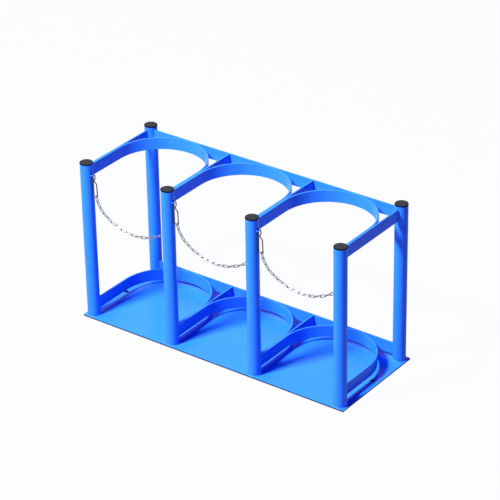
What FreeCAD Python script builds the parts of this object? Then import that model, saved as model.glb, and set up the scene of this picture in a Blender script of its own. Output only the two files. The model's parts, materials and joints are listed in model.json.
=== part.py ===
"""Parametric model of a floor stand for three gas cylinders.

A base plate carries six round tube posts.  Flat bars on edge join the posts at
two levels and bend into a half ring behind each of the three bays.  A chain with
a snap hook closes the front of every bay.  Millimetres, +X to the right seen from
the front, +Y to the rear, +Z up, origin under the middle of the base plate.
"""
import FreeCAD, Part
import math
import os
import Sketcher
from FreeCAD import Placement, Rotation, Vector

os.makedirs("parts", exist_ok=True)
doc = FreeCAD.newDocument("cylinder_stand")
sheet = doc.addObject("Spreadsheet::Sheet", "sizes")
row_count = 0


def size(name, number, note):
    """Write one driving dimension into the sheet and return its value."""
    global row_count
    row_count += 1
    sheet.set("A%d" % row_count, note)
    sheet.set("B%d" % row_count, str(number))
    sheet.setAlias("B%d" % row_count, name)
    return float(number)


# Layout of the posts
bay_pitch = size("bay_pitch", 256.0, "spacing of the front posts")
row_depth = size("row_depth", 260.0, "front post row to rear post row")
post_top = size("post_top", 439.0, "top end of the tubes above the floor")
tube_outer = size("tube_outer", 33.7, "outside diameter of a post")
tube_wall = size("tube_wall", 2.0, "wall of a post")
weld_gap = size("weld_gap", 0.05, "clearance between welded pieces")

# Base plate
plate_thick = size("plate_thick", 4.0, "thickness of the base plate")
plate_side = size("plate_side", 21.0, "plate past the end posts' axes")
plate_front = size("plate_front", 18.7, "plate past the front posts' axes")
plate_rear = size("plate_rear", 18.7, "plate past the rear posts' axes")
plate_corner = size("plate_corner", 2.0, "corner radius of the plate")
anchor_bore = size("anchor_bore", 13.0, "diameter of an anchor hole")
anchor_side = size("anchor_side", 18.0, "anchor hole to the side edge")
anchor_back = size("anchor_back", 6.0, "anchor hole behind the plate's middle")

# Flat bars
bar_thick = size("bar_thick", 4.0, "thickness of the flat bar")
bar_width = size("bar_width", 32.0, "width of the flat bar, upright")
upper_inset = size("upper_inset", 7.0, "top edge of the upper bars below the tubes' ends")
lower_edge = size("lower_edge", 48.0, "top edge of the lower bars")
rail_inset = size("rail_inset", 4.0, "rear rail in front of the rear posts' axes")
cope_depth = size("cope_depth", 3.0, "bar stock left inside a post before coping")

# End caps of the posts
cap_rim = size("cap_rim", 0.3, "cap flange proud of the tube")
cap_flange = size("cap_flange", 3.0, "thickness of the cap flange")
cap_round = size("cap_round", 1.1, "rounding of the cap's top edge")
cap_plug = size("cap_plug", 13.0, "depth of the cap's plug")
cap_wall = size("cap_wall", 1.8, "wall of the cap's plug")
cap_fit = size("cap_fit", 0.1, "radial clearance of the plug in the tube")

# Weld beads round the feet of the posts
bead_out = size("bead_out", 1.7, "weld bead on the plate, past the post")
bead_high = size("bead_high", 3.0, "height of the weld bead on the post")

# Eyes welded to the posts
eye_wire = size("eye_wire", 2.6, "wire diameter of the chain eyes")
eye_half = size("eye_half", 5.5, "half width of an eye, wire centre")
eye_bend = size("eye_bend", 4.5, "bend radius of an eye, wire centre")
eye_reach = size("eye_reach", 22.4, "tip of an eye from the post's axis")
hook_eye_drop = size("hook_eye_drop", 28.0, "eye for the hook below the tubes' ends")
chain_eye_drop = size("chain_eye_drop", 133.3, "eye for the chain below the tubes' ends")
chain_eye_turn = size("chain_eye_turn", 15.0, "turn of that eye to the rear")
spare_eye_drop = size("spare_eye_drop", 21.0, "upright eye below the tubes' ends")
spare_eye_wire = size("spare_eye_wire", 2.6, "wire of the upright eye")
spare_eye_half = size("spare_eye_half", 6.5, "half height of the upright eye")
spare_eye_bend = size("spare_eye_bend", 2.2, "bend radius of the upright eye")
spare_eye_reach = size("spare_eye_reach", 19.3, "reach of the upright eye")

# Snap hook, a bent wire in one upright plane
hook_wire = size("hook_wire", 3.0, "wire diameter of the snap hook")
hook_play = size("hook_play", 0.15, "gap between touching rings")
loop_half = size("loop_half", 3.6, "half width of the closed loop, wire centre")
loop_drop = size("loop_drop", 17.3, "loop top down to the neck")
loop_rise = size("loop_rise", 5.4, "straight side of the loop above the neck")
loop_bend = size("loop_bend", 2.4, "bend under the loop")
neck_bend = size("neck_bend", 1.9, "bend at the neck")
neck_shift = size("neck_shift", 2.9, "wire to wire at the neck")
shoulder_drop = size("shoulder_drop", 9.5, "neck down to the shoulder")
shoulder_reach = size("shoulder_reach", 7.6, "shoulder beside the eye's tip")
shoulder_bend = size("shoulder_bend", 4.2, "bend at the shoulder")
hook_reach = size("hook_reach", 8.8, "lower corner beside the eye's tip")
corner_bend = size("corner_bend", 2.6, "bend at the lower corner")
nose_bend = size("nose_bend", 2.4, "bend below the nose")
hook_length = size("hook_length", 62.4, "loop top to hook bottom, wire centres")
nose_rise = size("nose_rise", 5.5, "height of the nose above the bottom wire")
hinge_drop = size("hinge_drop", 30.0, "loop top down to the end of the wire")
seat_reach = size("seat_reach", 5.0, "seat of the chain beside the eye's tip")

# Sprung gate of the hook and its pin
gate_wire = size("gate_wire", 2.8, "diameter of the gate")
gate_end_gap = size("gate_end_gap", 0.2, "gate end to the nose")
pin_drop = size("pin_drop", 3.5, "end of the hook wire down to the pin")
pin_bore = size("pin_bore", 1.2, "diameter of the hinge pin")
pin_fit = size("pin_fit", 0.05, "radial clearance of the hinge pin")
tongue_thick = size("tongue_thick", 1.2, "thickness of the hinge tongue")
tongue_half = size("tongue_half", 1.2, "half width of the hinge tongue")
tongue_over = size("tongue_over", 2.6, "tongue past the pin's centre")
tongue_root = size("tongue_root", 0.4, "tongue let into the hook wire's end")
slot_fit = size("slot_fit", 0.1, "clearance beside the tongue in the slot")
slot_deep = size("slot_deep", 3.4, "slot below the pin's centre")
gate_over = size("gate_over", 2.4, "gate above the pin's centre")

# Chain
link_wire = size("link_wire", 2.2, "wire diameter of a link")
link_pitch = size("link_pitch", 15.69, "inside length of a link less its play")
link_play = size("link_play", 0.15, "gap between neighbouring links")
link_inside = size("link_inside", 3.8, "inside width of a link")
eye_play = size("eye_play", 0.3, "gap between the last link and its eye")
slack_ratio = size("slack_ratio", 1.174, "chain length over the straight distance")
drop_reach = size("drop_reach", 7.4, "length of the steep first part")
drop_height = size("drop_height", 24.9, "extra fall of the steep first part")
doc.recompute()

BAYS = 3
FRONT_Y = "-(sizes.row_depth + sizes.plate_rear - sizes.plate_front) / 2"
REAR_Y = "(sizes.row_depth - sizes.plate_rear + sizes.plate_front) / 2"
UPPER_EDGE = "sizes.post_top - sizes.upper_inset"
LOWER_EDGE = "sizes.lower_edge"
front_y = -(row_depth + plate_rear - plate_front) / 2
post_radius = tube_outer / 2
made = []


def tell(obj, label):
    """Give an object its own label and list it for export."""
    obj.Label = label
    made.append(obj)
    return obj


def place(obj, along, back, up):
    """Bind the placement of an object to the sheet."""
    for axis, text in (("x", along), ("y", back), ("z", up)):
        obj.setExpression("Placement.Base." + axis, text)


def post_x(index):
    """Expression for the X of front post number index, 0 at the left."""
    return "sizes.bay_pitch * %s" % (index - BAYS / 2.0)


def origin_plane(body, role):
    for feature in body.Origin.OriginFeatures:
        if feature.Role == role:
            return feature
    raise RuntimeError("no plane " + role)


def new_body(name):
    return doc.addObject("PartDesign::Body", name)


def new_sketch(body, name, role="XY_Plane"):
    sketch = body.newObject("Sketcher::SketchObject", name)
    sketch.AttachmentSupport = (origin_plane(body, role), [""])
    sketch.MapMode = "FlatFace"
    return sketch


def bind(sketch, kind, name, args, start, text):
    """Add a dimension with a name and tie it to the sheet."""
    index = sketch.addConstraint(Sketcher.Constraint(kind, *args, start))
    sketch.renameConstraint(index, name)
    sketch.setExpression("Constraints." + name, text)


def circle_at_origin(sketch, name, radius, text):
    index = sketch.addGeometry(Part.Circle(Vector(0, 0, 0), Vector(0, 0, 1), radius))
    sketch.addConstraint(Sketcher.Constraint("Coincident", index, 3, -1, 1))
    bind(sketch, "Radius", name, (index,), radius, text)
    return index


def pad(body, sketch, length_text, name="Pad"):
    feature = body.newObject("PartDesign::Pad", name)
    feature.Profile = sketch
    feature.setExpression("Length", length_text)
    doc.recompute()
    return feature


def polygon_sketch(sketch, corners):
    """Closed loop of lines through the corners, joined end to end."""
    count = len(corners)
    for i in range(count):
        a, b = corners[i], corners[(i + 1) % count]
        sketch.addGeometry(Part.LineSegment(Vector(a[0], a[1], 0), Vector(b[0], b[1], 0)))
    for i in range(count):
        sketch.addConstraint(Sketcher.Constraint("Coincident", i, 2, (i + 1) % count, 1))


def cylinder(name, radius_text, height_text, along, back, up):
    tool = doc.addObject("Part::Cylinder", name)
    tool.setExpression("Radius", radius_text)
    tool.setExpression("Height", height_text)
    place(tool, along, back, up)
    return tool


def cut(base, tools):
    """Cut every tool from the base."""
    result = base
    for tool in tools:
        feature = doc.addObject("Part::Cut", base.Name + "_coped")
        feature.Base = result
        feature.Tool = tool
        result = feature
    return result


# Base plate: rectangle with rounded corners and two anchor holes
def base_plate():
    body = new_body("base_plate")
    half_x = BAYS * bay_pitch / 2 + plate_side
    half_y = (row_depth + plate_front + plate_rear) / 2
    outline = new_sketch(body, "plate_outline")
    polygon_sketch(outline, [(-half_x, -half_y), (half_x, -half_y),
                             (half_x, half_y), (-half_x, half_y)])
    for line in (0, 2):
        outline.addConstraint(Sketcher.Constraint("Horizontal", line))
    for line in (1, 3):
        outline.addConstraint(Sketcher.Constraint("Vertical", line))
    outline.addConstraint(Sketcher.Constraint("Symmetric", 0, 1, 1, 2, -1, 1))
    bind(outline, "DistanceX", "long", (0, 1, 0, 2), 2 * half_x,
         "sizes.bay_pitch * %d + 2 * sizes.plate_side" % BAYS)
    bind(outline, "DistanceY", "deep", (1, 1, 1, 2), 2 * half_y,
         "sizes.row_depth + sizes.plate_front + sizes.plate_rear")
    slab = pad(body, outline, "sizes.plate_thick")
    corners = ["Edge%d" % (n + 1) for n, e in enumerate(slab.Shape.Edges)
               if abs(e.tangentAt(e.FirstParameter).z) > 0.9]
    rounding = body.newObject("PartDesign::Fillet", "plate_corners")
    rounding.Base = (slab, corners)
    rounding.setExpression("Radius", "sizes.plate_corner")
    doc.recompute()
    holes = new_sketch(body, "anchor_holes")
    anchor_x = half_x - anchor_side
    for k, side in enumerate((-1, 1)):
        spot = Vector(side * anchor_x, anchor_back, 0)
        holes.addGeometry(Part.Circle(spot, Vector(0, 0, 1), anchor_bore / 2))
        bind(holes, "Radius", "bore%d" % k, (k,), anchor_bore / 2, "sizes.anchor_bore / 2")
    reach = "sizes.bay_pitch * %s + sizes.plate_side - sizes.anchor_side" % (BAYS / 2.0)
    bind(holes, "DistanceX", "left", (0, 3, -1, 1), anchor_x, reach)
    bind(holes, "DistanceX", "right", (-1, 1, 1, 3), anchor_x, reach)
    bind(holes, "DistanceY", "left_back", (-1, 1, 0, 3), anchor_back, "sizes.anchor_back")
    bind(holes, "DistanceY", "right_back", (-1, 1, 1, 3), anchor_back, "sizes.anchor_back")
    before = rounding.Shape.Volume
    pocket = body.newObject("PartDesign::Pocket", "anchor_bores")
    pocket.Profile = holes
    pocket.Type = "ThroughAll"
    pocket.Reversed = True
    doc.recompute()
    if not pocket.Shape.Volume < before - 1:
        raise RuntimeError("the anchor holes cut nothing")
    return tell(body, "base_plate")


# Posts: round tube standing on the plate
def post(label, along, back):
    body = new_body(label)
    ring = new_sketch(body, label + "_section")
    circle_at_origin(ring, "outer", post_radius, "sizes.tube_outer / 2")
    circle_at_origin(ring, "inner", post_radius - tube_wall,
                     "sizes.tube_outer / 2 - sizes.tube_wall")
    pad(body, ring, "sizes.post_top - sizes.plate_thick - sizes.weld_gap")
    place(body, along, back, "sizes.plate_thick + sizes.weld_gap")
    return tell(body, label)


# Caps: a moulded flange over the tube end with a hollow plug and a rounded edge
def cap(label, along, back):
    body = new_body(label)
    profile = new_sketch(body, label + "_profile", "XZ_Plane")
    rim = post_radius + cap_rim
    plug = post_radius - tube_wall - cap_fit
    core = plug - cap_wall
    polygon_sketch(profile, [(0, 0), (core, 0), (core, -cap_plug), (plug, -cap_plug),
                             (plug, 0), (rim, 0), (rim, cap_flange), (0, cap_flange)])
    for line in (0, 2, 4, 6):
        profile.addConstraint(Sketcher.Constraint("Horizontal", line))
    for line in (1, 3, 5, 7):
        profile.addConstraint(Sketcher.Constraint("Vertical", line))
    profile.addConstraint(Sketcher.Constraint("Coincident", 0, 1, -1, 1))
    profile.addConstraint(Sketcher.Constraint("PointOnObject", 3, 2, -1))
    bind(profile, "DistanceX", "core", (0, 1, 0, 2), core,
         "sizes.tube_outer / 2 - sizes.tube_wall - sizes.cap_fit - sizes.cap_wall")
    bind(profile, "DistanceX", "wall", (2, 1, 2, 2), cap_wall, "sizes.cap_wall")
    bind(profile, "DistanceX", "rim", (-1, 1, 5, 1), rim, "sizes.tube_outer / 2 + sizes.cap_rim")
    bind(profile, "DistanceY", "plug", (1, 2, 1, 1), cap_plug, "sizes.cap_plug")
    bind(profile, "DistanceY", "flange", (5, 1, 5, 2), cap_flange, "sizes.cap_flange")
    turned = body.newObject("PartDesign::Revolution", label + "_turned")
    turned.Profile = profile
    turned.ReferenceAxis = (profile, ["V_Axis"])
    turned.Angle = 360
    doc.recompute()
    edges = ["Edge%d" % (n + 1) for n, e in enumerate(turned.Shape.Edges)
             if e.BoundBox.ZMin > cap_flange - 1e-4 and e.BoundBox.XLength > rim]
    rounding = body.newObject("PartDesign::Fillet", label + "_edge")
    rounding.Base = (turned, edges)
    rounding.setExpression("Radius", "sizes.cap_round")
    place(body, along, back, "sizes.post_top + sizes.weld_gap")
    return tell(body, label)


# Upright flat bars, coped to the round of the posts that they meet
def bar(label, corner, lengths, posts):
    """Box with its low corner and lengths as expressions, coped at the posts."""
    box = doc.addObject("Part::Box", label + "_bar")
    for side, text in zip(("Length", "Width", "Height"), lengths):
        box.setExpression(side, text)
    place(box, *corner)
    tools = [cylinder(label + "_cope", "sizes.tube_outer / 2 + sizes.weld_gap",
                      "sizes.post_top", along, back, "0") for along, back in posts]
    return tell(cut(box, tools), label)


RAIL_FACE = REAR_Y + " - sizes.rail_inset - sizes.bar_thick / 2"
COPE_Y = FRONT_Y + " + sizes.tube_outer / 2 - sizes.cope_depth"
LEFT_X, RIGHT_X = post_x(0), post_x(BAYS)


def rear_rail(label, edge):
    inner = "sizes.tube_outer / 2 - sizes.cope_depth"
    corner = (LEFT_X + " + " + inner, RAIL_FACE, edge + " - sizes.bar_width")
    long_text = "sizes.bay_pitch * %d - sizes.tube_outer + 2 * sizes.cope_depth" % BAYS
    bar(label, corner, (long_text, "sizes.bar_thick", "sizes.bar_width"),
        [(LEFT_X, REAR_Y), (RIGHT_X, REAR_Y)])


def divider(label, index, edge):
    corner = (post_x(index) + " - sizes.bar_thick / 2", COPE_Y, edge + " - sizes.bar_width")
    deep = ("sizes.row_depth - sizes.rail_inset - sizes.bar_thick / 2 - sizes.weld_gap"
            " - sizes.tube_outer / 2 + sizes.cope_depth")
    bar(label, corner, ("sizes.bar_thick", deep, "sizes.bar_width"),
        [(post_x(index), FRONT_Y)])


def side_rail(label, index, edge):
    corner = (post_x(index) + " - sizes.bar_thick / 2", COPE_Y, edge + " - sizes.bar_width")
    deep = "sizes.row_depth - sizes.tube_outer + 2 * sizes.cope_depth"
    bar(label, corner, ("sizes.bar_thick", deep, "sizes.bar_width"),
        [(post_x(index), FRONT_Y), (post_x(index), REAR_Y)])


# Half ring with two straight arms, bent from flat bar on edge
def ring_bar(label, bay, edge):
    body = new_body(label)
    sketch = new_sketch(body, label + "_section")
    outer = bay_pitch / 2 - bar_thick / 2 - weld_gap
    inner = outer - bar_thick
    middle = row_depth - rail_inset - bar_thick / 2 - weld_gap - outer
    front = post_radius - cope_depth
    centre, up = Vector(0, middle, 0), Vector(0, 0, 1)
    sketch.addGeometry(Part.ArcOfCircle(Part.Circle(centre, up, outer), 0, math.pi))
    sketch.addGeometry(Part.ArcOfCircle(Part.Circle(centre, up, inner), 0, math.pi))
    ends = [((-outer, middle), (-outer, front)), ((-outer, front), (-inner, front)),
            ((-inner, front), (-inner, middle)), ((inner, middle), (inner, front)),
            ((inner, front), (outer, front)), ((outer, front), (outer, middle))]
    for a, b in ends:
        sketch.addGeometry(Part.LineSegment(Vector(a[0], a[1], 0), Vector(b[0], b[1], 0)))
    joins = [(0, 2, 2, 1), (2, 2, 3, 1), (3, 2, 4, 1), (4, 2, 1, 2),
             (1, 1, 5, 1), (5, 2, 6, 1), (6, 2, 7, 1), (7, 2, 0, 1)]
    for join in joins:
        sketch.addConstraint(Sketcher.Constraint("Coincident", *join))
    sketch.addConstraint(Sketcher.Constraint("Coincident", 0, 3, 1, 3))
    sketch.addConstraint(Sketcher.Constraint("PointOnObject", 0, 3, -2))
    for line in (2, 4, 5, 7):
        sketch.addConstraint(Sketcher.Constraint("Vertical", line))
    for line in (3, 6):
        sketch.addConstraint(Sketcher.Constraint("Horizontal", line))
    for arc in (0, 1):
        for end in (1, 2):
            sketch.addConstraint(Sketcher.Constraint("Horizontal", arc, end, arc, 3))
    sketch.addConstraint(Sketcher.Constraint("Horizontal", 3, 1, 6, 1))
    half = "sizes.bay_pitch / 2 - sizes.bar_thick / 2 - sizes.weld_gap"
    bind(sketch, "Radius", "outside", (0,), outer, half)
    bind(sketch, "Radius", "inside", (1,), inner, half + " - sizes.bar_thick")
    bind(sketch, "DistanceY", "middle", (-1, 1, 0, 3), middle,
         "sizes.row_depth - sizes.rail_inset - sizes.bay_pitch / 2")
    bind(sketch, "DistanceY", "front", (-1, 1, 6, 1), front,
         "sizes.tube_outer / 2 - sizes.cope_depth")
    solid = pad(body, sketch, "sizes.bar_width")
    before = solid.Shape.Volume
    notch = new_sketch(body, label + "_cope")
    for k, side in enumerate((-1, 1)):
        spot = Vector(side * bay_pitch / 2, 0, 0)
        notch.addGeometry(Part.Circle(spot, up, post_radius + weld_gap))
        notch.addConstraint(Sketcher.Constraint("PointOnObject", k, 3, -1))
        bind(notch, "Radius", "post%d" % k, (k,), post_radius + weld_gap,
             "sizes.tube_outer / 2 + sizes.weld_gap")
    bind(notch, "DistanceX", "left", (0, 3, -1, 1), bay_pitch / 2, "sizes.bay_pitch / 2")
    bind(notch, "DistanceX", "right", (-1, 1, 1, 3), bay_pitch / 2, "sizes.bay_pitch / 2")
    coping = body.newObject("PartDesign::Pocket", label + "_coping")
    coping.Profile = notch
    coping.Type = "ThroughAll"
    coping.Reversed = True
    doc.recompute()
    if not coping.Shape.Volume < before - 1:
        raise RuntimeError("the coping cut nothing")
    place(body, post_x(bay + 0.5), FRONT_Y, edge + " - sizes.bar_width")
    return tell(body, label)


# Eyes: a wire bent into a staple with its two legs on the post
def eye(label, names, lying):
    """Staple of round wire in the XY plane of its body, opening to the post at X = 0."""
    body = new_body(label)
    wire, half, bend, reach = (getattr(sheet, name) for name in names)
    wire_text, half_text, bend_text, reach_text = ("sizes." + name for name in names)
    root, root_text = post_radius + weld_gap, "sizes.tube_outer / 2 + sizes.weld_gap"
    if lying:
        root = math.sqrt(post_radius ** 2 - (half - wire / 2) ** 2) + weld_gap
        root_text = ("sqrt((sizes.tube_outer / 2) ^ 2 - (%s - %s / 2) ^ 2) + sizes.weld_gap"
                     % (half_text, wire_text))
    path = new_sketch(body, label + "_path")
    out, side, up = reach - bend, half - bend, Vector(0, 0, 1)
    path.addGeometry(Part.LineSegment(Vector(root, -half, 0), Vector(out, -half, 0)))
    low = Part.Circle(Vector(out, -side, 0), up, bend)
    path.addGeometry(Part.ArcOfCircle(low, -math.pi / 2, 0))
    path.addGeometry(Part.LineSegment(Vector(reach, -side, 0), Vector(reach, side, 0)))
    high = Part.Circle(Vector(out, side, 0), up, bend)
    path.addGeometry(Part.ArcOfCircle(high, 0, math.pi / 2))
    path.addGeometry(Part.LineSegment(Vector(out, half, 0), Vector(root, half, 0)))
    for k in range(4):
        path.addConstraint(Sketcher.Constraint("Coincident", k, 2, k + 1, 1))
    for line in (0, 4):
        path.addConstraint(Sketcher.Constraint("Horizontal", line))
    path.addConstraint(Sketcher.Constraint("Vertical", 2))
    path.addConstraint(Sketcher.Constraint("Symmetric", 0, 1, 4, 2, -1))
    path.addConstraint(Sketcher.Constraint("Vertical", 1, 1, 1, 3))
    path.addConstraint(Sketcher.Constraint("Horizontal", 1, 2, 1, 3))
    path.addConstraint(Sketcher.Constraint("Vertical", 3, 2, 3, 3))
    path.addConstraint(Sketcher.Constraint("Horizontal", 3, 1, 3, 3))
    bind(path, "Radius", "low_bend", (1,), bend, bend_text)
    bind(path, "Radius", "high_bend", (3,), bend, bend_text)
    bind(path, "DistanceX", "tip", (-1, 1, 2, 1), reach, reach_text)
    bind(path, "DistanceY", "leg", (0, 1, -1, 1), half, half_text)
    bind(path, "DistanceX", "root", (-1, 1, 0, 1), root, root_text)
    section = new_sketch(body, label + "_section", "YZ_Plane")
    section.setExpression("AttachmentOffset.Base.z", root_text)
    spot = section.addGeometry(Part.Circle(Vector(-half, 0, 0), up, wire / 2))
    section.addConstraint(Sketcher.Constraint("PointOnObject", spot, 3, -1))
    bind(section, "Radius", "wire", (spot,), wire / 2, wire_text + " / 2")
    bind(section, "DistanceX", "leg", (spot, 3, -1, 1), half, half_text)
    sweep = body.newObject("PartDesign::AdditivePipe", label + "_bent")
    sweep.Profile = section
    sweep.Spine = (path, ["Edge%d" % (k + 1) for k in range(5)])
    doc.recompute()
    return tell(body, label)


EYE = ("eye_wire", "eye_half", "eye_bend", "eye_reach")
SPARE = ("spare_eye_wire", "spare_eye_half", "spare_eye_bend", "spare_eye_reach")


def section_wire(centre, direction, radius):
    circle = Part.Circle(centre, direction, radius)
    return Part.Wire([circle.toShape()])


def rounded_path(corners):
    """Lines through the corners joined by tangent arcs: corner is (X, Z, radius)."""
    points = [Vector(c[0], 0, c[1]) for c in corners]
    edges, start = [], points[0]
    for i in range(1, len(points) - 1):
        into = (points[i] - points[i - 1]).normalize()
        out = (points[i + 1] - points[i]).normalize()
        half_turn = into.getAngle(out) / 2
        radius = corners[i][2]
        setback = radius * math.tan(half_turn)
        first, last = points[i] - into * setback, points[i] + out * setback
        inward = (out - into).normalize()
        middle = points[i] + inward * (radius / math.cos(half_turn) - radius)
        edges.append(Part.LineSegment(start, first).toShape())
        edges.append(Part.Arc(first, middle, last).toShape())
        start = last
    edges.append(Part.LineSegment(start, points[-1]).toShape())
    return Part.Wire(edges)


def shaped(label, shape, placement):
    """Object whose shape is worked out from the sheet's numbers."""
    obj = doc.addObject("Part::Feature", label)
    obj.Shape = shape
    obj.Placement = placement
    return tell(obj, label)


# Snap hook in its own plane: X away from the eye's tip, Z up from the eye's wire
loop_top = eye_wire / 2 + hook_play + hook_wire / 2
hook_floor = loop_top - hook_length
pin_level = loop_top - hinge_drop - pin_drop
nose_level = hook_floor + nose_rise


LOOP_ROUND = 0.98   # share of the loop's half width that its top bends take


def snap_hook():
    neck = loop_top - loop_drop
    corners = [(-loop_half, loop_top - hinge_drop, 0),
               (-loop_half, loop_top, loop_half * LOOP_ROUND),
               (loop_half, loop_top, loop_half * LOOP_ROUND),
               (loop_half, neck + loop_rise, loop_bend),
               (-loop_half + neck_shift, neck, neck_bend),
               (shoulder_reach, neck - shoulder_drop, shoulder_bend),
               (hook_reach, hook_floor, corner_bend),
               (-loop_half, hook_floor, nose_bend),
               (-loop_half, nose_level, 0)]
    path = rounded_path(corners)
    start = Vector(-loop_half, 0, loop_top - hinge_drop)
    body = path.makePipeShell([section_wire(start, Vector(0, 0, 1), hook_wire / 2)], True, True)
    low = pin_level - tongue_over
    tongue = Part.makeBox(2 * tongue_half, tongue_thick, start.z - low + tongue_root)
    tongue.translate(Vector(-loop_half - tongue_half, -tongue_thick / 2, low))
    bore = Part.makeCylinder(pin_bore / 2 + pin_fit, hook_wire,
                             Vector(-loop_half, -hook_wire / 2, pin_level), Vector(0, 1, 0))
    return body.fuse(tongue).cut(bore).removeSplitter()


def gate():
    foot = nose_level + gate_end_gap
    bar_height = pin_level + gate_over - foot
    stem = Part.makeCylinder(gate_wire / 2, bar_height, Vector(-loop_half, 0, foot))
    wide = tongue_thick + 2 * slot_fit
    slot = Part.makeBox(2 * gate_wire, wide, slot_deep + 2 * gate_over)
    slot.translate(Vector(-loop_half - gate_wire, -wide / 2, pin_level - slot_deep))
    bore = Part.makeCylinder(pin_bore / 2 + pin_fit, 2 * gate_wire,
                             Vector(-loop_half, -gate_wire, pin_level), Vector(0, 1, 0))
    return stem.cut(slot).cut(bore)


def gate_pin():
    return Part.makeCylinder(pin_bore / 2, gate_wire,
                             Vector(-loop_half, -gate_wire / 2, pin_level), Vector(0, 1, 0))


# Closed link: a six sided wire bent round a long loop
def link_solid(length):
    """Link along X in the XY plane, with the inside length given."""
    bend = (link_inside + link_wire) / 2
    reach = length / 2 + link_wire / 2 - bend
    turns, sides = 4, 6
    outside = bend / math.cos(math.pi / (2 * turns))
    line = []
    for end in (1, -1):
        for k in range(turns):
            angle = (k - (turns - 1) / 2) * math.pi / turns
            line.append(Vector(end * (reach + outside * math.cos(angle)),
                               end * outside * math.sin(angle), 0))
    rings = []
    count = len(line)
    for i in range(count):
        into = (line[i] - line[i - 1]).normalize()
        out = (line[(i + 1) % count] - line[i]).normalize()
        mitre = (into + out).normalize()
        side = Vector(mitre.y, -mitre.x, 0)
        widen = 1 / math.cos(into.getAngle(out) / 2)
        ring = []
        for j in range(sides):
            turn = 2 * math.pi * j / sides
            ring.append(line[i] + side * (link_wire / 2 * math.cos(turn) * widen)
                        + Vector(0, 0, link_wire / 2 * math.sin(turn)))
        rings.append(ring)
    faces = []
    for i in range(count):
        a, b = rings[i], rings[(i + 1) % count]
        for j in range(sides):
            k = (j + 1) % sides
            faces.append(Part.Face(Part.makePolygon([a[j], b[j], b[k], a[k], a[j]])))
    shell = Part.makeShell(faces)
    shell.sewShape()
    solid = Part.Solid(shell)
    if solid.Volume < 0:
        solid.reverse()
    return solid


def hanging_curve(first, last, length):
    """Hanging line between two points with a steep start, as a function of X."""
    wide = last.x - first.x
    rise = last.z - (first.z - drop_height)
    goal = math.sqrt(length ** 2 - rise ** 2)
    low, high = wide / 40, wide * 40
    for _ in range(80):
        a = math.sqrt(low * high)
        if wide / (2 * a) < 300 and 2 * a * math.sinh(wide / (2 * a)) < goal:
            high = a
        else:
            low = a
    lowest = (first.x + last.x) / 2 - a * math.atanh(rise / length)
    base = first.z - drop_height - a * math.cosh((first.x - lowest) / a)

    def height(x):
        steep = drop_height * math.exp(-(x - first.x) / drop_reach)
        return base + a * math.cosh((x - lowest) / a) + steep
    return height


def walk(first, last, height, samples=600):
    """Points along the curve, closer together where it starts steep."""
    points = []
    for k in range(samples + 1):
        share = (k / samples) ** 1.6
        x = first.x + (last.x - first.x) * share
        points.append(Vector(x, 0, height(x)))
    return points


def chain_nodes(seat, eye_spot):
    """Points where neighbouring rings touch, from the hook to the far eye."""
    straight = (eye_spot - seat).Length
    links = 2 * int(round(slack_ratio * straight / (2 * link_pitch)))
    out, into = Vector(0.3, 0, -0.95).normalize(), Vector(0.8, 0, 0.6).normalize()
    for _ in range(5):
        first = seat - out * (hook_wire / 2 + link_play / 2)
        last = eye_spot + into * (eye_wire / 2 + eye_play - link_play / 2)
        bottom = Vector(first.x, 0, first.z - drop_height)
        least = (last - bottom).Length
        low, high = least * 1.0005, links * link_pitch
        for _ in range(50):
            trial = (low + high) / 2
            points = walk(first, last, hanging_curve(first, last, trial))
            total = sum((q - p).Length for p, q in zip(points, points[1:]))
            if total < links * link_pitch:
                low = trial
            else:
                high = trial
        nodes, gone, wanted = [points[0]], 0.0, total / links
        for p, q in zip(points, points[1:]):
            step = (q - p).Length
            while gone + step >= wanted * len(nodes) - 1e-9 and len(nodes) < links:
                share = (wanted * len(nodes) - gone) / step
                nodes.append(p + (q - p) * share)
            gone += step
        nodes.append(points[-1])
        out = (nodes[1] - nodes[0]).normalize()
        into = (nodes[-1] - nodes[-2]).normalize()
    return nodes


def chain_solids(nodes):
    """Links between the nodes; the first lies across the chain's plane."""
    solids = []
    for i, (p, q) in enumerate(zip(nodes, nodes[1:])):
        along = (q - p).normalize()
        across = Vector(0, 1, 0)
        flat = across if i % 2 == 0 else across.cross(along)
        third = along.cross(flat)
        turn = Rotation(along, flat, third, "XYZ")
        one = link_solid((q - p).Length + link_play)
        one.Placement = Placement((p + q) / 2, turn)
        solids.append(one)
    return Part.makeCompound(solids)


# The stand
base_plate()
for index in range(BAYS + 1):
    post("post_front_%d" % (index + 1), post_x(index), FRONT_Y)
    cap("cap_front_%d" % (index + 1), post_x(index), FRONT_Y)
for side, index in (("left", 0), ("right", BAYS)):
    post("post_rear_" + side, post_x(index), REAR_Y)
    cap("cap_rear_" + side, post_x(index), REAR_Y)

for level, edge_text in (("upper", UPPER_EDGE), ("lower", LOWER_EDGE)):
    rear_rail(level + "_rear_rail", edge_text)
    for bay in range(BAYS):
        ring_bar("%s_ring_%d" % (level, bay + 1), bay, edge_text)
    for index in range(1, BAYS):
        divider("%s_divider_%d" % (level, index), index, edge_text)
side_rail("upper_side_rail_left", 0, UPPER_EDGE)
side_rail("upper_side_rail_right", BAYS, UPPER_EDGE)

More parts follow.
